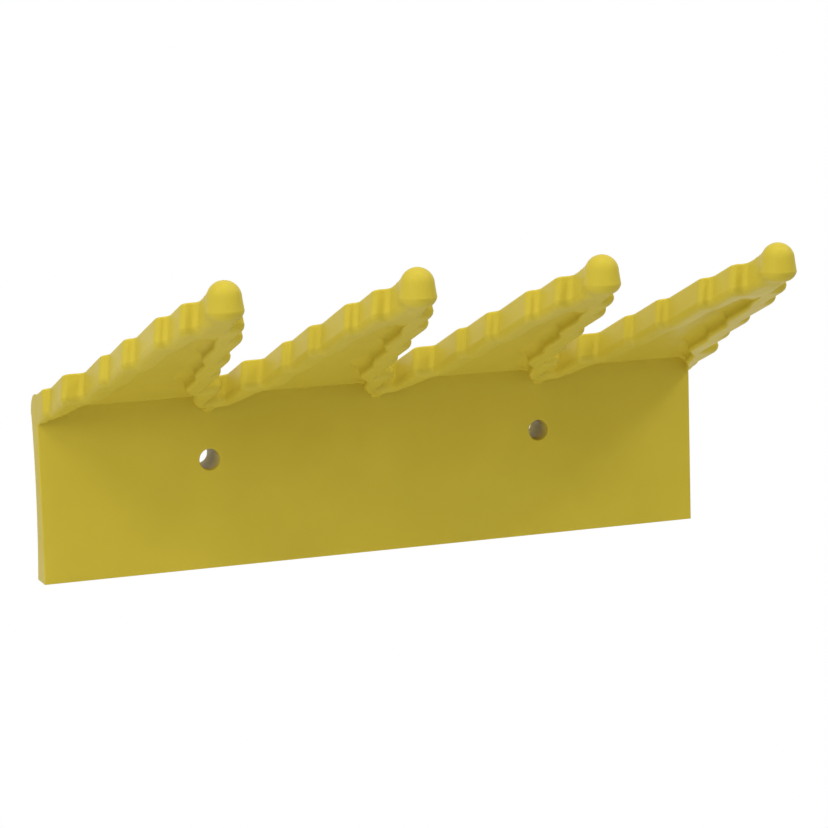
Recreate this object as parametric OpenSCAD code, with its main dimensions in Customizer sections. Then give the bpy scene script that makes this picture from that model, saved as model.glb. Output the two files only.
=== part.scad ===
// Wall hanger for long-handled tools: a back plate with four stepped, rising prongs and three slots between.
// Millimetres. X runs along the wall, Y points into the wall, Z is up. The origin is on the wall, midway
// between the screw holes. A distance along a prong is measured level, from the front face of the plate.

/* [Back plate] */
// Distance between neighbouring prongs
pitch = 60; // [56:1:80]
// Height of the front face, up to the top of the prongs where they leave it
plate_h = 63.8; // [58:0.1:90]
// Thickness of the front wall
plate_t = 4; // [3:0.5:6]
// Depth of the plate with its rear rim at the bottom edge
rim_depth = 10.5; // [9.5:0.1:12]
// Depth of the plate with its rear rim at the top
top_depth = 8.6; // [8:0.1:9.4]
// Width of the rear rim
rim_w = 4; // [3:0.5:6]
// How far the rear rim curves in between its lower edge and the top rim
rim_hollow = 2.3; // [0.5:0.1:2.4]
// Rounding of the rear top edge
rear_round = 4; // [1:0.5:4]
// Thickness of the slot ends, and how much the plate is shorter than its pitches
end_gap = 3; // [1:0.2:5]
// Distance of the front face from the wall
stand_off = 16; // [14:0.5:25]

/* [Screw holes] */
// Diameter of the screw holes
hole_d = 7.2; // [5:0.1:9]
// Distance between the screw holes
hole_spacing = 120; // [100:1:140]
// Height of the screw holes above the bottom edge
hole_height = 37.2; // [20:0.1:40]
// Diameter of the screw bosses
boss_d = 16; // [13:0.5:22]

/* [Prongs] */
// Slope of the prongs above level, in degrees
rise = 19.8; // [10:0.2:30]
// Height of the stepped rails
rail_h = 10.2; // [8:0.1:14]
// Thickness of the stepped rails
rail_t = 7.3; // [5:0.1:7.4]
// How far the steps on the deck side of a rail lie behind those on its slot side
step_shift = 3; // [1:0.5:4]
// Thickness of the deck between the rails
deck_t = 4.9; // [3:0.1:6]
// Height of the parting line, the widest place of the rails and tips, above their lower edge
parting_h = 3.3; // [3:0.1:4]
// Distance that the rails draw in between the parting line and their top
draft = 0.9; // [0:0.1:1]
// Rounding of the lower edge on the slot side
slot_round = 2.4; // [1:0.1:2.7]
// Rounding of the lower edge under the deck
deck_round = 1; // [0.3:0.1:1]
// Rounding of the top edge on the slot side
top_round = 0.8; // [0.3:0.1:1.2]

/* [Slots] */
// Width of the slot ends where they meet the plate
root_w = 17; // [14:0.2:18]
// Slot width at the parting line, past the first step
slot_1 = 6.4; // [6:0.1:12]
// Slot width at the parting line, past the second step
slot_2 = 20; // [16:0.1:24]
// Slot width at the parting line, past the third step
slot_3 = 25; // [24:0.1:30]
// Slot width at the parting line, past the fourth step
slot_4 = 32; // [30:0.1:36]
// Slot width at the parting line, past the fifth step
slot_5 = 39.7; // [36:0.1:42]
// Length of the slot ends, from the plate to the middle of the first step
run_1 = 9.7; // [8:0.1:14]
// Length from the first step to the second
run_2 = 19.3; // [10:0.1:26]
// Length from the second step to the third
run_3 = 23; // [10:0.1:30]
// Length from the third step to the fourth
run_4 = 19.8; // [10:0.1:26]
// Length from the fourth step to the fifth
run_5 = 25.1; // [10:0.1:30]
// Length from the fifth step to the sixth
run_6 = 14.8; // [10:0.1:20]
// Length over which each step rounds off
step_run = 3.8; // [2:0.1:5]

/* [Tips] */
// Diameter of the rounded tips at the parting line
tip_d = 11.7; // [10.7:0.1:14]
// Width of the neck behind each tip at the parting line
neck_w = 10.2; // [9:0.1:10.6]
// Length of the neck, from the sixth step to the axis of the tip
neck_l = 12.3; // [10:0.1:20]
// Height of each tip from its foot to the top of its dome
tip_h = 12.2; // [11.9:0.1:16]
// Height of each dome above the deck at its own axis
tip_rise = 2.5; // [0.5:0.1:4]
// Rounding under each tip
tip_round = 3; // [1:0.1:3.2]
// Distance that each tip draws in between the parting line and its dome
tip_draft = 0.6; // [0:0.1:0.8]

/* [Hidden] */

$fn = 64;
yellow = "#c9b73c";
prongs = 4;
plate_w = prongs * pitch - end_gap;
bottom_z = -hole_height;
top_edge_z = plate_h - hole_height;
wall_front_y = -stand_off;
wall_rear_y = wall_front_y + plate_t;
rim_rear_y = wall_front_y + rim_depth;
top_rear_y = wall_front_y + top_depth;

rim_low_z = top_z(-top_depth) - rim_w;
rear_r = min(rear_round, rim_w, top_depth - plate_t);

// The rear rim is cut by a wide cylinder that passes through its lower edge and the foot of the top rim
rim_span = [top_rear_y - rim_rear_y, rim_low_z - bottom_z];
rim_middle = [rim_rear_y, bottom_z] + rim_span / 2;
hollow_r = (pow(norm(rim_span) / 2, 2) + pow(rim_hollow, 2)) / (2 * rim_hollow);
hollow_centre = rim_middle + (hollow_r - rim_hollow) * [rim_span[1], -rim_span[0]] / norm(rim_span);

// How far a cutter runs past what it cuts
cut_past = 1;

// Each step lets the slot widen, and the rails follow it with the same thickness
runs = [run_1, run_2, run_3, run_4, run_5, run_6];
steps = [for (k = [0 : len(runs) - 1]) run_sum(k)];
last_step = steps[len(steps) - 1];
reach = last_step + neck_l;
slots = [slot_1, slot_2, slot_3, slot_4, slot_5];
half_widths = [(pitch - end_gap) / 2, for (s = slots) (pitch - s) / 2, neck_w / 2];
inner_half_widths = [(pitch - root_w) / 2, for (s = slots) (pitch - s) / 2 - rail_t, 0];
slot_start = run_1 - step_run / 2;
step_points = 5;
stations = [for (s = steps) for (i = [0 : step_points]) s + step_run * (i / step_points - 0.5)];

function run_sum(k) = k < 0 ? 0 : runs[k] + run_sum(k - 1);
function top_z(n) = top_edge_z + n * tan(rise);
function y_at(n) = wall_front_y - n;
function ease(t) = let (u = min(max(t, 0), 1)) u * u * (3 - 2 * u);

// Half width of a prong at distance n, after all the steps from number k on
function half_width(n, widths, k = 0) =
    k == len(steps) ? widths[0]
    : half_width(n, widths, k + 1) - (widths[k] - widths[k + 1]) * ease((n - steps[k]) / step_run + 0.5);

// One side of a prong as [distance, half width]: moved back by a shift, and let out by e past the slot end
function side_line(widths, shift, e) =
    [[0, widths[0]],
     for (n = stations)
         let (out = e * ease((n - slot_start) / step_run))
         [n - shift + out, half_width(n, widths) + out],
     [reach, widths[len(steps)] + e]];

// Draft at height h of a rail
function drawn_in(h) = draft * (h - parting_h) / (rail_h - parting_h);

function reversed(list) = [for (i = [len(list) - 1 : -1 : 0]) list[i]];
function place(line, h) = [for (p = line) [p[1], y_at(p[0]), top_z(p[0]) - rail_h + h]];

// One ring of a rail: its slot side at height h_out and inset e_out, its deck side at h_in and e_in
function rail_ring(h_out, e_out, h_in, e_in) =
    concat(place(side_line(half_widths, 0, -e_out), h_out),
           reversed(place(side_line(inner_half_widths, step_shift, e_in), h_in)));

// The lower edges are rounded by more on the slot side, and the top edge on the slot side alone
function lower_ring(a) =
    let (up = 1 - cos(a), in = 1 - sin(a))
    rail_ring(slot_round * up, slot_round * in, deck_round * up, deck_round * in);
function upper_ring(a) =
    let (h = rail_h - top_round * (1 - sin(a)))
    rail_ring(h, drawn_in(h) + top_round * (1 - cos(a)), h, 0);
rail_rings = concat([for (a = [0 : 30 : 90]) lower_ring(a)], [rail_ring(parting_h, 0, parting_h, 0)],
                    [for (a = [0 : 45 : 90]) upper_ring(a)]);

function prong_x(i) = (i - (prongs + 1) / 2) * pitch;
function slot_x(i) = (i - prongs / 2) * pitch;

// A closed solid through rings of equally many points, listed upwards, each clockwise seen from above.
// A ring runs out along one side and back along the other, so a cap is a strip from side to side.
module skin(rings) {
    size = len(rings[0]);
    half = size / 2;
    last = (len(rings) - 1) * size;
    points = [for (ring = rings) each ring];
    side_faces = [for (k = [0 : len(rings) - 2]) for (i = [0 : size - 1])
        let (a = k * size + i, b = k * size + (i + 1) % size)
        each [[a, b, a + size], [b, b + size, a + size]]];
    cap_faces = [for (i = [0 : half - 2])
        let (a = i, b = i + 1, c = size - 2 - i, d = size - 1 - i)
        each [[b, a, c], [c, a, d], [last + a, last + b, last + c], [last + a, last + c, last + d]]];
    polyhedron(points = points, faces = concat(side_faces, cap_faces));
}

// A profile of [y, z] points drawn out along X
module along_x(width, profile) {
    rotate([90, 0, 90]) linear_extrude(width, center = true) polygon(profile);
}

// Profile of a slab that lies flush with the tops of the prongs, from the plate out to distance n
function sloped_slab(n, depth) =
    [[y_at(0), top_z(0) - depth], [y_at(0), top_z(0)], [y_at(n), top_z(n)], [y_at(n), top_z(n) - depth]];

module rear_hollow() {
    translate([0, hollow_centre[0], hollow_centre[1]]) rotate([0, 90, 0])
        cylinder(r = hollow_r, h = plate_w + 2 * cut_past, center = true, $fn = 720);
}

module bore(x) {
    translate([x, 0, 0]) rotate([90, 0, 0]) cylinder(d = hole_d, h = 2 * (stand_off + cut_past), center = true);
}

module front_plate() {
    color(yellow) difference() {
        along_x(plate_w, [[wall_front_y, bottom_z], [wall_rear_y, bottom_z],
                          [wall_rear_y, top_z(-plate_t)], [wall_front_y, top_z(0)]]);
        for (side = [-1, 1]) bore(side * hole_spacing / 2);
    }
}

module top_rim() {
    round_y = top_rear_y - rear_r;
    round_z = top_z(rear_r - top_depth) - rear_r / cos(rise);
    color(yellow) rotate([90, 0, 90]) linear_extrude(plate_w, center = true) intersection() {
        translate([wall_rear_y, rim_low_z]) square([top_depth - plate_t, plate_h]);
        union() {
            polygon([[wall_rear_y, rim_low_z], [top_rear_y, rim_low_z], [top_rear_y, round_z],
                     [round_y, round_z], [round_y + rear_r * sin(rise), round_z + rear_r * cos(rise)],
                     [wall_rear_y, top_z(-plate_t)]]);
            translate([round_y, round_z]) circle(r = rear_r);
        }
    }
}

module bottom_rim() {
    color(yellow) difference() {
        translate([-plate_w / 2, wall_rear_y, bottom_z]) cube([plate_w, rim_depth - plate_t, rim_w]);
        rear_hollow();
    }
}

module side_rim(side) {
    color(yellow) difference() {
        translate([side * (plate_w - rim_w) / 2 - rim_w / 2, wall_rear_y, bottom_z + rim_w])
            cube([rim_w, rim_depth - plate_t, rim_low_z - bottom_z - rim_w]);
        rear_hollow();
    }
}

module boss(side) {
    color(yellow) difference() {
        translate([side * hole_spacing / 2, wall_rear_y / 2, 0]) rotate([90, 0, 0])
            cylinder(d = boss_d, h = -wall_rear_y, center = true);
        bore(side * hole_spacing / 2);
    }
}

module slot_end(i) {
    color(yellow) translate([slot_x(i), 0, 0])
        along_x(end_gap, sloped_slab(slot_start, rail_h));
}

module deck(i) {
    line = [for (p = side_line(inner_half_widths, step_shift, 0)) if (p[1] > 0) [p[1], y_at(p[0])]];
    end_n = last_step + step_run / 2 - step_shift;
    color(yellow) translate([prong_x(i), 0, 0]) intersection() {
        translate([0, 0, bottom_z]) linear_extrude(plate_h + reach)
            polygon(concat(line, [[0, y_at(end_n)]], reversed([for (p = line) [-p[0], p[1]]])));
        along_x(pitch, sloped_slab(reach, deck_t));
    }
}

module rail(i, side) {
    color(yellow) translate([prong_x(i), 0, 0]) difference() {
        mirror([side < 0 ? 1 : 0, 0, 0]) skin(rail_rings);
        translate([0, y_at(reach), bottom_z]) cylinder(d = tip_d, h = plate_h + reach);
    }
}

module tip(i) {
    foot_z = top_z(reach) + tip_rise - tip_h;
    widest = tip_d / 2;
    dome_r = widest - tip_draft;
    dome_z = tip_h - dome_r;
    color(yellow) translate([prong_x(i), y_at(reach), foot_z]) rotate_extrude() intersection() {
        square([widest, tip_h]);
        union() {
            square([widest - tip_round, parting_h]);
            translate([widest - tip_round, tip_round]) circle(r = tip_round);
            translate([0, tip_round]) square([widest, parting_h - tip_round]);
            polygon([[0, parting_h], [widest, parting_h], [dome_r, dome_z], [0, dome_z]]);
            translate([0, dome_z]) circle(r = dome_r);
        }
    }
}

front_plate();
top_rim();
bottom_rim();
side_rim(-1);  // left_rim
side_rim(1);  // right_rim
boss(-1);  // left_boss
boss(1);  // right_boss
slot_end(1);  // left_slot_end
slot_end(2);  // middle_slot_end
slot_end(3);  // right_slot_end
for (i = [1 : prongs]) {
    deck(i);
    rail(i, -1);
    rail(i, 1);
    tip(i);
}
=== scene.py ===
# Wall hanger for long-handled tools, moulded in one piece of yellow polypropylene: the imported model, dressed.
# Sizes are in millimetres and become metres where a mesh is made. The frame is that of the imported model:
# X along the wall, Y into the wall, Z up. A distance along a prong is measured level, from the plate's front.
import math

import bmesh
import bpy
from mathutils import Matrix, Vector


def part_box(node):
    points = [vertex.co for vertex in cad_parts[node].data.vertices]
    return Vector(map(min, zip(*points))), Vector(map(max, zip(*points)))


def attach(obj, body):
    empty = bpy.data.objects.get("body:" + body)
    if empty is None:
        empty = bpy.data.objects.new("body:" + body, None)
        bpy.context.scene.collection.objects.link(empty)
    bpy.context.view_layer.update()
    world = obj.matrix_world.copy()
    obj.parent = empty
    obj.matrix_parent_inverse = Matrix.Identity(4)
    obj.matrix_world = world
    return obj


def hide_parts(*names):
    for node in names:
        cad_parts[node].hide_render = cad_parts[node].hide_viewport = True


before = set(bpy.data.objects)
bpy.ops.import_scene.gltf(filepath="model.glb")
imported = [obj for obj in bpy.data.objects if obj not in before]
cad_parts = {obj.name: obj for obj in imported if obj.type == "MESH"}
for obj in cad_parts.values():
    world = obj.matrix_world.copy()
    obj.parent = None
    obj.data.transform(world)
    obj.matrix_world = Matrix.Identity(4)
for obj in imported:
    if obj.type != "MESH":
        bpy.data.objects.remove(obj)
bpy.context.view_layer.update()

MM = 0.001


def box_mm(node):
    """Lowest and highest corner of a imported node, in millimetres."""
    return [Vector(corner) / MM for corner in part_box(node)]


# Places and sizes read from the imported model
PLATE_LOW, PLATE_HIGH = box_mm("front_plate")
TOP_RIM_LOW, TOP_RIM_HIGH = box_mm("top_rim")
BOSS_LOW, BOSS_HIGH = box_mm("left_boss")
TIP_LOW, TIP_HIGH = box_mm("prong_1_tip")
FRONT_Y, INNER_Y = PLATE_LOW.y, PLATE_HIGH.y
RIM_REAR_Y, TOP_REAR_Y = box_mm("bottom_rim")[1].y, TOP_RIM_HIGH.y
PLATE_END = PLATE_HIGH.x
BOTTOM_Z, TOP_RIM_Z = PLATE_LOW.z, TOP_RIM_LOW.z
HOLE_X = -(BOSS_LOW.x + BOSS_HIGH.x) / 2
BOSS_R = (BOSS_HIGH.x - BOSS_LOW.x) / 2
PRONG_X = [sum(corner.x for corner in box_mm(f"prong_{i}_tip")) / 2 for i in (1, 2, 3, 4)]
PITCH = PRONG_X[1] - PRONG_X[0]
TIP_R = (TIP_HIGH.x - TIP_LOW.x) / 2
REACH = FRONT_Y - (TIP_LOW.y + TIP_HIGH.y) / 2

# The rise of the prongs in degrees, and the height of the plate's front, whose top edge they rise from
RISE = 19.8
PLATE_H = 63.8
SLOPE = math.tan(math.radians(RISE))
TOP_Z = PLATE_LOW.z + PLATE_H

# The rims, how far their rear faces are hollowed, the roundings of the back, how far above the top rim's foot its
# rear round ends, and the share of the depth where the rims' rear edges start to round off
RIM_W = 4
RIM_HOLLOW = 2.3
REAR_ROUND = 7.5
REAR_END = 0.8
EDGE_ROUND = 0.3
RIM_ROUND = 0.4
RIM_ROUND_START = 0.7
RIM_FOOT = 1.2

# The screw holes and bosses, and half the side of the square of faces round each hole
HOLE_R = 3.6
HOLE_LIP = 0.4
HOLE_BLOCK = 8.0
BOSS_END_ROUND = 0.8
BOSS_LIP = 0.2

# How far the edges of the back, and the tops of the prongs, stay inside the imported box
BACK_CLEARANCE = 0.004
TOP_CLEARANCE = 0.001

# Plan of a prong: each step is the middle of a riser and the half width past it
ROOT_HALF = 28.5
STEPS = [(9.7, 26.8), (29, 20), (52, 17.5), (71.8, 14), (96.9, 10.15), (111.7, 5.1)]
STEP_RUN = 3.8
CORNER_R = 1.9
SLOT_START = STEPS[0][0] - STEP_RUN / 2
NECK_START = STEPS[-1][0] + STEP_RUN / 2

# Section of a rail, as heights above its lower edge and widths in from its outline
RAIL_H = 10.2
PARTING_H = 2.4
PARTING_STEP = 0.2
RIDGE = 0.025
DRAFT = 0.9
TOP_ROUND = 0.9
ROOT_TOP_ROUND = 0.35
SLOT_ROUND = 2.3
ROOT_ROUND_SHARE = 0.2

# The recess under a prong: its depth and roundings, where it grows shallow and where it ends before the neck,
# and the least that is left of its depth, of the rail beyond its rounding, and of its own half width
RECESS_H = RAIL_H - 4.9
RECESS_FILLET = 3.2
FILLET_STRETCH = 1.3
DECK_ROUND = 1.4
SHALLOW_START, SHALLOW_RUN = NECK_START - 24, 17
SHALLOW_H = 0.8
SHALLOW_ROUND = 0.6
END_START, END_RUN = NECK_START - 9, 8
LEAST_DEPTH = 0.02
LEAST_EDGE = 0.6
LEAST_UNDERSIDE = 0.02
LEAST_HALF = 0.3

# Inner wall of the rails, as distance along the prong and half width of the recess, and how far it stands back
INNER_LINE = [(-3, 28), (4.5, 27.8), (7, 25), (9.5, 22.4), (14, 20.9), (23, 18.9), (32, 12.7), (46, 12.7),
              (53, 10.3), (67, 10.2), (73, 6.9), (89, 6.8), (97, 4.4), (105, 3.6), (112, 0.5)]
INNER_SHIFT = 3

# Stations where a prong leaves the plate and on to the end of a slot, and how fast it sinks behind the front
ROOT_STATIONS = [-2, -1, 0]
SLOT_END_STATIONS = [2, 4, 5.5, 6.5, 7.2]
SINK = 0.1

# The rounded tips: where a prong starts to change into its tip, and the tip's own section
TIP_START, TIP_RUN = REACH - 6, 4
TIP_RISE = 2.5
TIP_PARTING_H = 3.3
TIP_DRAFT = 0.6
TIP_ROUND = 3.0
TIP_CHAMFER = 0.3
TIP_FOOT = 0.5
DOME_BLEND = 1.6
DOME_MARGIN = 2

# How softly the neck widens into its tip, in plan
NECK_BLEND = 0.8

# Parts that the roundings and the top of a section are cut into, and those of the plan at slot end, neck and tip
ROUND_PARTS = 8
FILLET_PARTS = 7
TOP_PARTS = 9
SLOT_END_PARTS = 10
NECK_PARTS = 24
TIP_PARTS = 16


def ease(t):
    """Rises softly from 0 to 1 as t does, and stays level beyond."""
    t = min(max(t, 0), 1)
    return t * t * (3 - 2 * t)


def mix(a, b, t):
    return a + (b - a) * t


def spread(low, high, parts):
    """Both ends and the values that cut the way between them into equal parts."""
    return [mix(low, high, k / parts) for k in range(parts + 1)]


def smooth_max(a, b, width):
    """The larger value, rounded off where the two differ by less than the width."""
    h = max(width - abs(a - b), 0) / width
    return max(a, b) + h * h * width / 4


def linear(hex_colour):
    """An sRGB colour such as "c9b73c" as the linear RGBA that Blender works in."""
    parts = [int(hex_colour[k:k + 2], 16) / 255 for k in (0, 2, 4)]
    return [c / 12.92 if c <= 0.04045 else ((c + 0.055) / 1.055) ** 2.4 for c in parts] + [1.0]


def add_node(tree, kind, settings=None, inputs=None):
    """Adds a node. Settings are its properties; inputs are values, or sockets to link, by name or number."""
    node = tree.nodes.new(kind)
    for name, value in (settings or {}).items():
        setattr(node, name, value)
    for name, value in (inputs or {}).items():
        if isinstance(value, bpy.types.NodeSocket):
            tree.links.new(value, node.inputs[name])
        else:
            node.inputs[name].default_value = value
    return node


def moulded_polypropylene():
    """Injection-moulded polypropylene: a soft, slightly yellow gloss over a faintly uneven skin, and a little light
    inside it."""
    material = bpy.data.materials.new("moulded polypropylene")
    material.use_nodes = True
    tree = material.node_tree
    tree.nodes.clear()
    place = add_node(tree, "ShaderNodeTexCoord").outputs["Object"]

    def noise(size, detail):
        """Noise whose features are about this many millimetres across."""
        return add_node(tree, "ShaderNodeTexNoise", inputs={"Vector": place, "Scale": 1 / (size * MM),
                                                            "Detail": detail}).outputs["Fac"]

    def between(factor, low, high):
        return add_node(tree, "ShaderNodeMapRange", inputs={"Value": factor, "From Min": 0.3, "From Max": 0.7,
                                                            "To Min": low, "To Max": high}).outputs[0]

    # Inputs 6 and 7 and output 2 are the colours of a Mix node
    tone = add_node(tree, "ShaderNodeMix", {"data_type": "RGBA"}, {0: between(noise(35, 3), 0.0, 1.0),
                                                                   6: linear("c5b13a"), 7: linear("cbb73e")})
    ripple = add_node(tree, "ShaderNodeBump", inputs={"Height": noise(9, 1), "Strength": 0.06,
                                                      "Distance": 0.25 * MM})
    grain = add_node(tree, "ShaderNodeBump", inputs={"Height": noise(0.5, 2), "Strength": 0.15,
                                                     "Distance": 0.02 * MM, "Normal": ripple.outputs[0]})
    shader = add_node(tree, "ShaderNodeBsdfPrincipled", inputs={
        "Base Color": tone.outputs[2], "Roughness": between(noise(14, 2), 0.4, 0.48), "IOR": 1.49,
        "Specular IOR Level": 0.18, "Specular Tint": linear("fff0a8"), "Subsurface Weight": 0.06,
        "Subsurface Scale": 1 * MM, "Subsurface Radius": (1.0, 0.7, 0.2), "Normal": grain.outputs[0]})
    add_node(tree, "ShaderNodeOutputMaterial", inputs={"Surface": shader.outputs["BSDF"]})
    return material


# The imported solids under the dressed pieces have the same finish
yellow = moulded_polypropylene()
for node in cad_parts.values():
    for slot in node.material_slots:
        slot.material = yellow


# Prongs

def step_line(half, steps):
    """Points along a stepped line as (distance, half width): each step is a pair of arcs with a flat between."""
    points = []
    for middle, after in steps:
        height = half - after
        turn = math.acos(max(1 - height / (2 * CORNER_R), 0))
        run = CORNER_R * math.sin(turn)
        start = points[-1][0] if points else 0
        points += [(n, half) for n in spread(start, middle - run, max(1, round((middle - run - start) / 1.5)))[1:]]
        points += [(middle - run + CORNER_R * math.sin(a), half - CORNER_R * (1 - math.cos(a)))
                   for a in spread(0, turn, ROUND_PARTS)[1:]]
        flat = height - 2 * CORNER_R
        if flat > 0:
            points += [(middle, half - CORNER_R - flat * k / 4) for k in (1, 2, 3)]
        points += [(middle + run - CORNER_R * math.sin(a), after + CORNER_R * (1 - math.cos(a)))
                   for a in spread(turn, 0, ROUND_PARTS)]
        half = after
    return points


def outline(shared):
    """Stations along one side of a prong, as (distance, half width, inset share, turn round the tip)."""
    if shared:
        radius = PITCH / 2 - STEPS[0][1]
        stations = [(n, PITCH / 2, 0.0, 0.0) for n in ROOT_STATIONS + SLOT_END_STATIONS]
        stations += [(SLOT_START + radius * (1 - math.cos(a)), PITCH / 2 - radius * math.sin(a), math.sin(a), 0.0)
                     for a in spread(0, math.pi / 2, SLOT_END_PARTS)]
        line = [point for point in step_line(STEPS[0][1], STEPS[1:]) if point[0] > SLOT_START + radius + 0.2]
    else:
        stations = [(n, ROOT_HALF - SINK * n * n, 1.0, 0.0) for n in ROOT_STATIONS]
        line = step_line(ROOT_HALF, STEPS)
    stations += [(n, half, 1.0, 0.0) for n, half in line]
    for n in spread(line[-1][0], REACH, NECK_PARTS)[1:]:
        round_half = math.sqrt(max(TIP_R ** 2 - (REACH - n) ** 2, 0))
        stations.append((n, smooth_max(STEPS[-1][1], round_half, NECK_BLEND), 1.0, 0.0))
    return stations + [(REACH, TIP_R, 1.0, turn) for turn in spread(0, math.pi / 2, TIP_PARTS)[1:]]


def recess_half(n):
    """Half width of the recess at n: the inner line with its corners rounded off by a mean over places near n."""
    offsets = (-2, -1.2, -0.4, 0.4, 1.2, 2)
    total = 0
    for offset in offsets:
        for (start, before), (stop, after) in zip(INNER_LINE, INNER_LINE[1:]):
            if n + offset <= stop or stop == INNER_LINE[-1][0]:
                total += mix(before, after, min(max((n + offset - start) / (stop - start), 0), 1))
                break
    return total / len(offsets)


def tip_half(height, behind):
    """Half width of a tip at a height above its foot, at a distance behind its axis: a taper under a dome."""
    dome_r = TIP_R - TIP_DRAFT
    dome_z = RAIL_H + TIP_RISE - dome_r
    if height > dome_z:
        radius = math.sqrt(max(dome_r ** 2 - (height - dome_z) ** 2, 0))
    else:
        radius = mix(TIP_R, dome_r, (height - TIP_PARTING_H) / (dome_z - TIP_PARTING_H))
    return math.sqrt(max(radius ** 2 - behind ** 2, 0))


def section(n, half, share, shared):
    """Half a section of a prong from the middle of its top to the middle of its underside.
    Each point is (inset, setback, height, across): widths in from the outline and back along the prong,
    the height above the rails' lower edge, and 1 at the outline down to 0 on the middle line."""
    dome_r = TIP_R - TIP_DRAFT
    behind = REACH - n
    near_tip = behind < dome_r + DOME_MARGIN
    tip = ease((n - TIP_START) / TIP_RUN)
    foot = TIP_FOOT * ease((n - TIP_START) / (REACH - TIP_START))
    past_root = 1 if shared else ease(n / SLOT_START)
    lead = ease(n / SLOT_START) * (1 - ease((n - NECK_START) / (TIP_START - NECK_START)))

    # The dome stands out of the neck and blends into it
    dome = TIP_RISE - dome_r + math.sqrt(max(dome_r ** 2 - behind ** 2, 0)) + SLOPE * behind
    crest = RAIL_H + (smooth_max(dome, 0, DOME_BLEND) if near_tip else 0) - SINK * min(n, 0) ** 2
    top_r = mix(mix(ROOT_TOP_ROUND, TOP_ROUND, past_root), dome_r, tip)
    wall_top = crest - top_r
    draft = mix(DRAFT, TIP_DRAFT, tip) * ease((n - SLOT_START) / STEP_RUN)
    parting = mix(PARTING_H, TIP_PARTING_H + foot, tip)
    low_r = mix(SLOT_ROUND, TIP_ROUND, tip) * mix(ROOT_ROUND_SHARE, 1, past_root)

    # Width of the rail from its outline to the top of its inner wall, and the heights along that wall
    inner = half - recess_half(n - INNER_SHIFT * lead)
    inner = min(max(inner, low_r * share + LEAST_EDGE), half - LEAST_HALF)
    shallow = ease((n - SHALLOW_START) / SHALLOW_RUN)
    depth = LEAST_DEPTH + mix(RECESS_H, SHALLOW_H, shallow) * (1 - ease((n - END_START) / END_RUN))
    recess = foot + depth
    deck_rise = min(mix(DECK_ROUND, SHALLOW_ROUND, shallow), depth * 0.5)
    fillet_up = min(RECESS_FILLET, max(depth - deck_rise, 0) * 0.9)
    fillet_in = min(RECESS_FILLET * FILLET_STRETCH, max(half - inner - LEAST_HALF, 0))
    points = []

    def add(width, height, across=1.0, flat=0.0, back=None):
        """A point at this width in from the outline, of which only the flat part counts beside a slot end."""
        setback = (width + flat if back is None else back) * lead
        points.append((width * share + flat, setback, height, across))

    def wall_in(width, height):
        """Inset of the wall at a height, let out where the tip is wider than the neck."""
        if not near_tip:
            return width
        neck = STEPS[-1][1] - width - 3 * max(height - RAIL_H, 0)
        blend = 0.01 + 1.2 * ease(behind / 3)
        return half - max(smooth_max(neck, tip_half(height - SLOPE * behind, behind), blend), 0)

    # Top, its rounded edge, and the wall down to the parting line
    top_in = draft + RIDGE
    side = [(top_in + top_r * (1 - math.sin(a)), wall_top + top_r * math.cos(a))
            for a in spread(0, math.pi / 2, ROUND_PARTS)]
    side += [(mix(top_in, RIDGE, t), mix(wall_top, parting, t)) for t in (0.25, 0.5, 0.75, 0.92)]
    side.append((RIDGE, parting + PARTING_STEP))
    side = [(wall_in(width, height), height) for width, height in side]
    for k in range(TOP_PARTS):
        add(side[0][0], crest, k / TOP_PARTS)
    for width, height in side:
        add(width, height)
    add(0, parting)

    # Wall below the parting line and its rounding, which turns partly into a chamfer under the tip
    low_in = RIDGE * 1.5
    low_top = parting - PARTING_STEP
    low_rise = min(low_top - foot, low_r)
    add(low_in, low_top)
    for t in spread(0, 1, ROUND_PARTS):
        a = t * math.pi / 2
        add(low_in + low_r * mix(1 - math.cos(a), t, TIP_CHAMFER * tip),
            foot + low_rise * mix(1 - math.sin(a), 1 - t, TIP_CHAMFER * tip))

    # Underside of the rail, its inner rounding and wall, and the fillet up to the ceiling of the recess
    outer = low_in + low_r
    room = max(inner - outer * share, LEAST_UNDERSIDE)
    deck_r = min(DECK_ROUND, room)
    back_low = mix(outer, INNER_SHIFT, 0.5)
    for t in (0.5, 1.0):
        add(outer, foot, flat=(room - deck_r) * t, back=mix(outer, back_low, t))
    for t in spread(0, 1, FILLET_PARTS)[1:]:
        a = t * math.pi / 2
        add(outer, foot + deck_rise * (1 - math.cos(a)), flat=room - deck_r + deck_r * math.sin(a),
            back=mix(back_low, INNER_SHIFT, t))
    wall = depth - deck_rise - fillet_up
    add(outer, recess - fillet_up if wall > 0.01 else foot + deck_rise + 0.005, flat=room, back=INNER_SHIFT)
    for a in spread(0, math.pi / 2, FILLET_PARTS)[1:]:
        points.append((outer * share + room + fillet_in * (1 - math.cos(a)), INNER_SHIFT * lead,
                       recess - fillet_up * (1 - math.sin(a)), 1.0))
    inset, setback, height = points[-1][:3]
    return points + [(inset, setback, height, 1 - t) for t in spread(0, 1, FILLET_PARTS)[1:]]


# What each point of a prong's net carries
COLUMNS = ("along", "half_width", "inset", "setback", "height", "across", "turn")


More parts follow.
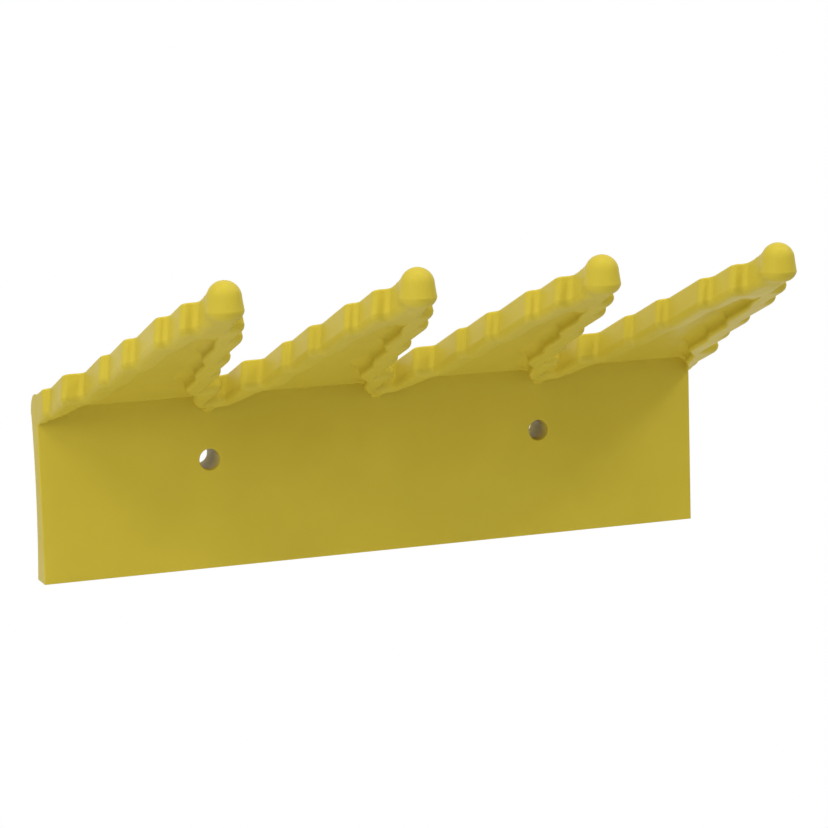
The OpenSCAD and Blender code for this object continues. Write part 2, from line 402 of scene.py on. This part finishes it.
def make_prong(name, left_shared, right_shared):
    """A net round a prong whose points carry the plan and the section as attributes, for the tree to lift."""
    columns = {key: [] for key in COLUMNS}
    faces = []
    for side, shared in ((1, right_shared), (-1, left_shared)):
        first = len(columns["along"])
        rows = [(station, section(*station[:3], shared)) for station in outline(shared)]
        count = len(rows[0][1])
        for (n, half, _, turn), points in rows:
            for inset, setback, height, across in points:
                for key, value in zip(COLUMNS, (n, half, inset, setback, height, across * side, turn)):
                    columns[key].append(value)
        for r in range(len(rows) - 1):
            for k in range(count - 1):
                a = first + r * count + k
                quad = [a, a + 1, a + 1 + count, a + count]
                faces.append(quad if side > 0 else quad[::-1])
    # The rear end of the prong joins the first rows of its two sides
    faces += [[k + 1, k, first + k, first + k + 1] for k in range(count - 1)]
    mesh = bpy.data.meshes.new(name)
    mesh.from_pydata([(0, 0, 0)] * len(columns["along"]), [], faces)
    for key, values in columns.items():
        mesh.attributes.new(key, "FLOAT", "POINT").data.foreach_set("value", values)
    prong = bpy.data.objects.new(name, mesh)
    bpy.context.scene.collection.objects.link(prong)
    return prong


def prong_tree():
    """Node tree that lifts the net to its shape: stepped outline, section, rise, and the turn round the tip."""
    tree = bpy.data.node_groups.new("prong", "GeometryNodeTree")
    face = tree.interface
    face.new_socket("Geometry", in_out="INPUT", socket_type="NodeSocketGeometry")
    for name in ("Place", "Front", "Base", "Slope"):
        face.new_socket(name, in_out="INPUT", socket_type="NodeSocketFloat")
    face.new_socket("Material", in_out="INPUT", socket_type="NodeSocketMaterial")
    face.new_socket("Geometry", in_out="OUTPUT", socket_type="NodeSocketGeometry")
    given = add_node(tree, "NodeGroupInput").outputs

    def column(name):
        return add_node(tree, "GeometryNodeInputNamedAttribute", {"data_type": "FLOAT"}, {"Name": name}).outputs[0]

    def math_of(operation, *values):
        return add_node(tree, "ShaderNodeMath", {"operation": operation}, dict(enumerate(values))).outputs[0]

    edge = math_of("MULTIPLY", math_of("SUBTRACT", column("half_width"), column("inset")), column("across"))
    length = math_of("SUBTRACT", column("along"), column("setback"))
    round_tip = math_of("MULTIPLY", math_of("ABSOLUTE", edge), math_of("SINE", column("turn")))
    x = math_of("MULTIPLY_ADD", edge, math_of("COSINE", column("turn")), given["Place"])
    y = math_of("SUBTRACT", given["Front"], math_of("ADD", length, round_tip))
    z = math_of("ADD", math_of("MULTIPLY_ADD", length, given["Slope"], given["Base"]), column("height"))
    place = add_node(tree, "ShaderNodeCombineXYZ", inputs={"X": x, "Y": y, "Z": z}).outputs[0]
    scaled = add_node(tree, "ShaderNodeVectorMath", {"operation": "SCALE"}, {0: place, "Scale": MM}).outputs[0]
    lifted = add_node(tree, "GeometryNodeSetPosition", inputs={"Geometry": given["Geometry"], "Position": scaled})
    welded = add_node(tree, "GeometryNodeMergeByDistance", inputs={"Geometry": lifted.outputs[0],
                                                                   "Distance": 0.004 * MM})
    real = add_node(tree, "GeometryNodeRealizeInstances", inputs={"Geometry": welded.outputs[0]})
    smooth = add_node(tree, "GeometryNodeSetShadeSmooth", inputs={"Geometry": real.outputs[0]})
    painted = add_node(tree, "GeometryNodeSetMaterial", inputs={"Geometry": smooth.outputs[0],
                                                                "Material": given["Material"]})
    add_node(tree, "NodeGroupOutput", inputs={"Geometry": painted.outputs[0]})
    return tree


def bake(piece, tree, values):
    """Runs the tree on a piece with these inputs and makes the result its plain mesh."""
    modifier = piece.modifiers.new("shape", "NODES")
    modifier.node_group = tree
    for socket in tree.interface.items_tree:
        if socket.in_out == "INPUT" and socket.name in values:
            modifier[socket.identifier] = values[socket.name]
    graph = bpy.context.evaluated_depsgraph_get()
    mesh = bpy.data.meshes.new_from_object(piece.evaluated_get(graph))
    piece.modifiers.clear()
    piece.data = mesh


# Back

def shell(name, points, faces):
    """A closed piece in place, from points in millimetres, with its doubles welded and its faces outwards."""
    mesh = bmesh.new()
    made = [mesh.verts.new(Vector(point) * MM) for point in points]
    for face in faces:
        mesh.faces.new([made[k] for k in face])
    bmesh.ops.remove_doubles(mesh, verts=mesh.verts, dist=0.002 * MM)
    bmesh.ops.recalc_face_normals(mesh, faces=mesh.faces)
    data = bpy.data.meshes.new(name)
    mesh.to_mesh(data)
    mesh.free()
    data.shade_smooth()
    data.set_sharp_from_angle(angle=math.radians(40))
    data.materials.append(yellow)
    piece = bpy.data.objects.new(name, data)
    bpy.context.scene.collection.objects.link(piece)
    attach(piece, "root")
    return piece


# Height and depth of the rear face of the rims: an arc from the bottom edge to the foot of the top rim
RIM_SPAN = Vector((TOP_REAR_Y - RIM_REAR_Y, TOP_RIM_Z - BOTTOM_Z))
HOLLOW_R = ((RIM_SPAN.length / 2) ** 2 + RIM_HOLLOW ** 2) / (2 * RIM_HOLLOW)
HOLLOW_CENTRE = (Vector((RIM_REAR_Y, BOTTOM_Z)) + RIM_SPAN / 2
                 + Vector((RIM_SPAN.y, -RIM_SPAN.x)).normalized() * (HOLLOW_R - RIM_HOLLOW))


def rear_y(z):
    """Depth of the rear face of the rims at a height."""
    if z >= TOP_RIM_Z:
        return TOP_REAR_Y
    return HOLLOW_CENTRE.x - math.sqrt(HOLLOW_R ** 2 - (z - HOLLOW_CENTRE.y) ** 2)


def back_rings():
    """Rings round the back from its front face over its edges and rims to the inside of the front wall.
    Each is (inset, top height, share of the depth, rim y, top y): the y values are added to the share of the depth,
    the last one along the top and the other along the sides and the bottom."""
    top = TOP_Z - BACK_CLEARANCE
    rings = []
    for a in spread(0, math.pi / 2, 6):
        into, back = EDGE_ROUND * (1 - math.sin(a)), EDGE_ROUND * (1 - math.cos(a))
        rings.append((into + BACK_CLEARANCE, top - into, 0, back, back))
    depth = TOP_REAR_Y - FRONT_Y
    round_y, round_z = depth - REAR_ROUND, top - REAR_ROUND
    for a in spread(0, math.pi / 2, 14):
        share = (round_y + REAR_ROUND * math.sin(a)) / depth
        rings.append((BACK_CLEARANCE, round_z + REAR_ROUND * math.cos(a), share,
                      -RIM_ROUND * ease((share - RIM_ROUND_START) / (1 - RIM_ROUND_START)), 0))
    for t in spread(0, 1, 4)[1:]:
        a = t * math.pi / 2
        rings.append((RIM_ROUND * (1 - math.cos(a)) + BACK_CLEARANCE,
                      mix(round_z, min(TOP_RIM_Z + REAR_END, round_z), t), 1, RIM_ROUND * (math.sin(a) - 1), 0))
    # A small bevel on the inner edge of the rims
    for into, back in ((0.5, 0), (0.15, -0.15), (0, -0.5)):
        rings.append((RIM_W - into, TOP_RIM_Z + into, 1, back, back))
    for a in spread(0, math.pi / 2, 5):
        into, back = RIM_FOOT * (1 - math.cos(a)), INNER_Y - FRONT_Y + RIM_FOOT * (1 - math.sin(a))
        rings.append((RIM_W + into, TOP_RIM_Z - into, 0, back, back))
    return rings


def make_back():
    """The plate with its rims: flat faces in front and behind, the rings round its edge, and the screw holes."""
    mesh_x = sorted({round(s * x, 3) for s in (-1, 1) for x in
                     spread(0, HOLE_X - HOLE_BLOCK, 4) + spread(HOLE_X - HOLE_BLOCK, HOLE_X + HOLE_BLOCK, 8)
                     + spread(HOLE_X + HOLE_BLOCK, PLATE_END - 8, 3) + [PLATE_END - 3, PLATE_END]})
    mesh_z = sorted({round(z, 3) for z in [BOTTOM_Z, BOTTOM_Z + 2] + spread(BOTTOM_Z + 7, -HOLE_BLOCK, 6)
                     + spread(-HOLE_BLOCK, HOLE_BLOCK, 8) + spread(HOLE_BLOCK, TOP_RIM_Z - 3, 3)
                     + [TOP_Z - 2.5, TOP_Z]})
    last_x, last_z = len(mesh_x) - 1, len(mesh_z) - 1
    edge = [(i, 0) for i in range(last_x)] + [(last_x, j) for j in range(last_z)] \
        + [(i, last_z) for i in range(last_x, 0, -1)] + [(0, j) for j in range(last_z, 0, -1)]
    rings = back_rings()
    points, faces = [], []

    def at(i, j, ring):
        """Where a ring takes the point of the grid in column i and row j."""
        inset, top, share, rim_y, top_y = ring
        x = min(max(mesh_x[i], -PLATE_END + inset), PLATE_END - inset)
        z = min(max(mesh_z[j], BOTTOM_Z + inset), top)
        rear = TOP_REAR_Y if j == last_z else rear_y(z)
        return x, mix(FRONT_Y, rear, share) + (top_y if j == last_z else rim_y), z

    def in_block(a, b, centre):
        return abs((a + b) / 2 - centre) < HOLE_BLOCK

    def face_grid(ring, y):
        """The flat face inside a ring, left open in the square block round each screw hole."""
        first = len(points)
        lines = last_z + 1
        for i in range(last_x + 1):
            for j in range(lines):
                x, on_ring, z = at(i, j, ring)
                points.append((x, on_ring if i in (0, last_x) or j in (0, last_z) else y, z))
        for i in range(last_x):
            for j in range(last_z):
                centre = HOLE_X if mesh_x[i] >= 0 else -HOLE_X
                if not (in_block(mesh_x[i], mesh_x[i + 1], centre) and in_block(mesh_z[j], mesh_z[j + 1], 0)):
                    a = first + i * lines + j
                    faces.append([a, a + lines, a + lines + 1, a + 1])

    def add_rows(rows):
        """Closed rows of points, each joined to the next."""
        start, count = len(points), len(rows[0])
        for row in rows:
            points.extend(row)
        for r in range(len(rows) - 1):
            for k in range(count):
                a, b = start + r * count + k, start + r * count + (k + 1) % count
                faces.append([a, b, b + count, a + count])

    face_grid(rings[0], FRONT_Y)
    face_grid(rings[-1], INNER_Y)
    add_rows([[at(i, j, ring) for i, j in edge] for ring in rings])

    # Screw holes: the square of each block runs in to the rounded rim, through the wall, and out again
    side = spread(-HOLE_BLOCK, HOLE_BLOCK, 8)[:-1]
    square = [(HOLE_BLOCK, z) for z in side] + [(-x, HOLE_BLOCK) for x in side] \
        + [(-HOLE_BLOCK, -z) for z in side] + [(x, -HOLE_BLOCK) for x in side]
    wall = [(HOLE_R + 2 * HOLE_LIP, 0), (HOLE_R + 1.2 * HOLE_LIP, 0)]
    wall += [(HOLE_R + HOLE_LIP * (1 - math.sin(a)), HOLE_LIP * (1 - math.cos(a)))
             for a in spread(0, math.pi / 2, 6)]
    wall += [(HOLE_R, INNER_Y - FRONT_Y)]
    turns = spread(-math.pi / 4, 7 * math.pi / 4, len(square))[:-1]
    for centre in (-HOLE_X, HOLE_X):
        add_rows([[(centre + x, FRONT_Y, z) for x, z in square]]
                 + [[(centre + radius * math.cos(a), FRONT_Y + depth, radius * math.sin(a)) for a in turns]
                    for radius, depth in wall]
                 + [[(centre + x, INNER_Y, z) for x, z in square]])
    back = shell("back", points, faces)
    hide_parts("front_plate", "top_rim", "bottom_rim", "left_rim", "right_rim")


def make_boss(name, centre):
    """A turned screw boss: it stands square on the front wall, is rounded at the wall's end, and is bored through."""
    count = 64
    profile = [(HOLE_R, INNER_Y), (BOSS_R, INNER_Y)]
    profile += [(BOSS_R - BOSS_END_ROUND * (1 - math.cos(a)), -BOSS_END_ROUND * (1 - math.sin(a)))
                for a in spread(0, math.pi / 2, 6)]
    profile += [(HOLE_R + BOSS_LIP * (1 - math.sin(a)), -BOSS_LIP * (1 - math.cos(a)))
                for a in spread(0, math.pi / 2, 4)]
    points = [(centre + r * math.cos(a), y, r * math.sin(a)) for r, y in profile
              for a in spread(0, 2 * math.pi, count)[:-1]]
    rows = len(profile)
    faces = [[r * count + k, r * count + (k + 1) % count, (r + 1) % rows * count + (k + 1) % count,
              (r + 1) % rows * count + k] for r in range(rows) for k in range(count)]
    boss = shell(name + "_turned", points, faces)
    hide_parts(name)


make_back()
make_boss("left_boss", -HOLE_X)
make_boss("right_boss", HOLE_X)

# Each prong but the last also closes the slot on its right
ends = {1: ["left_slot_end"], 2: ["middle_slot_end"], 3: ["right_slot_end"]}
tree = prong_tree()
for i, place in enumerate(PRONG_X, 1):
    prong = make_prong(f"prong_{i}", i > 1, i < len(PRONG_X))
    bake(prong, tree, {"Place": place, "Front": FRONT_Y, "Base": TOP_Z - RAIL_H - TOP_CLEARANCE, "Slope": SLOPE,
                       "Material": yellow})
    prong.data.set_sharp_from_angle(angle=math.radians(50))
    for column in COLUMNS:
        prong.data.attributes.remove(prong.data.attributes[column])
    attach(prong, "root")
    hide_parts(*[f"prong_{i}_{part}" for part in ("deck", "left_rail", "right_rail", "tip")],
                *ends.get(i, []))

# The camera stands in front of the hanger, to its left and a little above, and is tipped slightly to the right
CAMERA_PLACE = Vector((-334.3, -954.8, 162.6)) * MM
CAMERA_AIM = Vector((-2.65, -59.9, 16.6)) * MM
CAMERA_ROLL = math.radians(-1.73)
LENS = 127.8
SENSOR = 36


def add_camera():
    """A long lens on a full-frame sensor, placed as fitted to the photo."""
    data = bpy.data.cameras.new("camera")
    data.lens = LENS
    data.sensor_width = SENSOR
    camera = bpy.data.objects.new("camera", data)
    bpy.context.scene.collection.objects.link(camera)
    turn = (CAMERA_AIM - CAMERA_PLACE).to_track_quat("-Z", "Y").to_matrix().to_4x4()
    camera.matrix_world = Matrix.Translation(CAMERA_PLACE) @ turn @ Matrix.Rotation(CAMERA_ROLL, 4, "Z")
    bpy.context.scene.camera = camera


add_camera()


# Places and sizes of the lamps and the floor are in metres. All lamps point at the middle of the prongs
LAMP_AIM = Vector((0, -0.06, 0))


def add_lamp(name, place, size, power):
    """A round lamp of this diameter in metres and this power in watts."""
    data = bpy.data.lights.new(name, "AREA")
    data.shape = "DISK"
    data.size = size
    data.energy = power
    lamp = bpy.data.objects.new(name, data)
    bpy.context.scene.collection.objects.link(lamp)
    lamp.location = place
    lamp.rotation_euler = (LAMP_AIM - Vector(place)).to_track_quat("-Z", "Y").to_euler()


# Soft lamps overhead, at both sides and on the left, and weaker ones low down for the undersides of the prongs
add_lamp("upper left", (-0.8, -0.5, 1.0), 0.5, 4.5)
add_lamp("upper right", (0.8, -0.5, 1.0), 0.5, 5.5)
add_lamp("above", (0.0, -0.35, 1.3), 0.6, 4.5)
add_lamp("left", (-0.9, -0.9, 0.5), 0.5, 3.2)
add_lamp("lower left", (-0.9, -0.8, -0.5), 0.5, 2.7)
add_lamp("below", (0.0, -0.3, -0.7), 0.5, 0.7)


def seen_directly(tree):
    """1 for rays from the camera and for those that gloss or glass sends on, and 0 for the rest of the light."""
    path = add_node(tree, "ShaderNodeLightPath").outputs
    first = add_node(tree, "ShaderNodeMath", {"operation": "MAXIMUM"}, {0: path["Is Camera Ray"],
                                                                        1: path["Is Glossy Ray"]})
    return add_node(tree, "ShaderNodeMath", {"operation": "MAXIMUM"}, {0: first.outputs[0],
                                                                       1: path["Is Transmission Ray"]}).outputs[0]


# Light from all round, as a share of the white that the camera sees
WORLD_LIGHT = 0.47


def add_world():
    """The camera sees white; the object gets plain grey light from all round."""
    world = bpy.data.worlds.new("studio")
    world.use_nodes = True
    bpy.context.scene.world = world
    tree = world.node_tree
    tree.nodes.clear()
    light = add_node(tree, "ShaderNodeBackground", inputs={"Color": (1, 1, 1, 1), "Strength": WORLD_LIGHT})
    seen = add_node(tree, "ShaderNodeBackground", inputs={"Color": (1, 1, 1, 1), "Strength": 1.0})
    mixed = add_node(tree, "ShaderNodeMixShader", inputs={0: seen_directly(tree),
                                                          1: light.outputs[0], 2: seen.outputs[0]})
    add_node(tree, "ShaderNodeOutputWorld", inputs={"Surface": mixed.outputs[0]})


# The floor lies well below the hanger. Its share of plain white grows from near to far, as distances from its
# middle, so that its horizon doesn't show
FLOOR_Z = -0.8
FLOOR_HALF = 6.0
NEAR, FAR = 1.0, 1.7
NEAR_WHITE = 0.6


def white_floor_finish():
    """Matt white floor, mostly seen as plain white, that keeps the object's shadow."""
    material = bpy.data.materials.new("white floor")
    material.use_nodes = True
    tree = material.node_tree
    tree.nodes.clear()
    matt = add_node(tree, "ShaderNodeBsdfDiffuse", inputs={"Color": linear("dcdcda")})
    seen = add_node(tree, "ShaderNodeEmission", inputs={"Color": (1, 1, 1, 1), "Strength": 1.0})
    place = add_node(tree, "ShaderNodeTexCoord").outputs["Object"]
    from_middle = add_node(tree, "ShaderNodeVectorMath", {"operation": "LENGTH"}, {0: place}).outputs["Value"]
    whiter = add_node(tree, "ShaderNodeMapRange", inputs={"Value": from_middle, "From Min": NEAR, "From Max": FAR,
                                                          "To Min": NEAR_WHITE, "To Max": 1.0}).outputs[0]
    share = add_node(tree, "ShaderNodeMath", {"operation": "MULTIPLY"},
                     {0: seen_directly(tree), 1: whiter}).outputs[0]
    mixed = add_node(tree, "ShaderNodeMixShader", inputs={0: share, 1: matt.outputs[0],
                                                          2: seen.outputs[0]})
    add_node(tree, "ShaderNodeOutputMaterial", inputs={"Surface": mixed.outputs[0]})
    return material


def add_floor():
    """A plain level floor well below the hanger, which hangs free above it."""
    mesh = bpy.data.meshes.new("floor")
    mesh.from_pydata([(x * FLOOR_HALF, y * FLOOR_HALF, FLOOR_Z) for x, y in ((-1, -1), (1, -1), (1, 1), (-1, 1))],
                     [], [(0, 1, 2, 3)])
    mesh.materials.append(white_floor_finish())
    floor = bpy.data.objects.new("floor", mesh)
    bpy.context.scene.collection.objects.link(floor)


add_world()
add_floor()
bpy.context.scene.view_settings.view_transform = "Standard"
